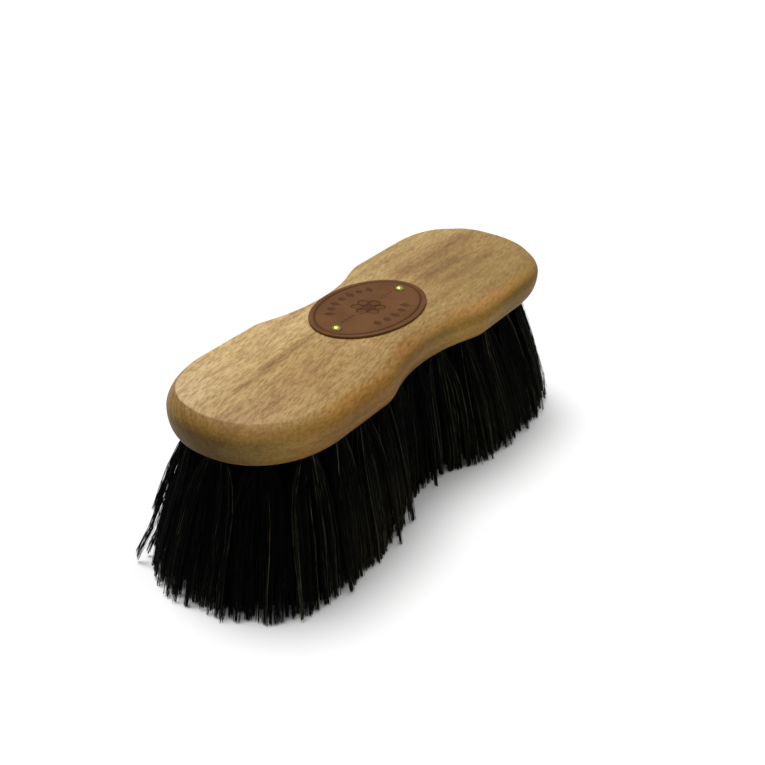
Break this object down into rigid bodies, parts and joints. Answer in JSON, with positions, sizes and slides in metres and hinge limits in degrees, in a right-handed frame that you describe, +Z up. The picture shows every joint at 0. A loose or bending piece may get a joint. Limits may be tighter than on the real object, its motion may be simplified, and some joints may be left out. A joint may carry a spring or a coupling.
{
  "type": "bee brush",
  "caption": "Waisted wooden hand brush with dense dark hair fanning out below and an oval leather badge nailed on top.",
  "frame": {"origin": "on the plane of the trimmed hair tips, under the middle of the block", "axes": "+X along the block, +Y across it, +Z up out of the wooden top that carries the badge"},
  "size_m": [0.2126, 0.077, 0.0676],
  "materials": {
    "beech": "satin oiled",
    "leather": "smooth brown",
    "brass": "polished",
    "horsehair": "black, slight sheen"
  },
  "bodies": {
    "root": {"wooden_block": "beech", "leather_badge": "leather", "badge_nail_left": "brass", "badge_nail_right": "brass", "hair_tuft_01": "horsehair", "hair_tuft_02": "horsehair", "hair_tuft_03": "horsehair", "hair_tuft_04": "horsehair", "hair_tuft_05": "horsehair", "hair_tuft_06": "horsehair", "hair_tuft_07": "horsehair", "hair_tuft_08": "horsehair", "hair_tuft_09": "horsehair", "hair_tuft_10": "horsehair", "hair_tuft_11": "horsehair", "hair_tuft_12": "horsehair", "hair_tuft_13": "horsehair", "hair_tuft_14": "horsehair", "hair_tuft_15": "horsehair", "hair_tuft_16": "horsehair", "hair_tuft_17": "horsehair", "hair_tuft_18": "horsehair", "hair_tuft_19": "horsehair", "hair_tuft_20": "horsehair", "hair_tuft_21": "horsehair", "hair_tuft_22": "horsehair", "hair_tuft_23": "horsehair", "hair_tuft_24": "horsehair", "hair_tuft_25": "horsehair", "hair_tuft_26": "horsehair", "hair_tuft_27": "horsehair", "hair_tuft_28": "horsehair", "hair_tuft_29": "horsehair", "hair_tuft_30": "horsehair", "hair_tuft_31": "horsehair", "hair_tuft_32": "horsehair", "hair_tuft_33": "horsehair", "hair_tuft_34": "horsehair", "hair_tuft_35": "horsehair", "hair_tuft_36": "horsehair", "hair_tuft_37": "horsehair", "hair_tuft_38": "horsehair", "hair_tuft_39": "horsehair", "hair_tuft_40": "horsehair", "hair_tuft_41": "horsehair", "hair_tuft_42": "horsehair", "hair_tuft_43": "horsehair", "hair_tuft_44": "horsehair", "hair_tuft_45": "horsehair", "hair_tuft_46": "horsehair", "hair_tuft_47": "horsehair", "hair_tuft_48": "horsehair", "hair_tuft_49": "horsehair", "hair_tuft_50": "horsehair", "hair_tuft_51": "horsehair", "hair_tuft_52": "horsehair", "hair_tuft_53": "horsehair", "hair_tuft_54": "horsehair", "hair_tuft_55": "horsehair"}
  },
  "joints": []
}
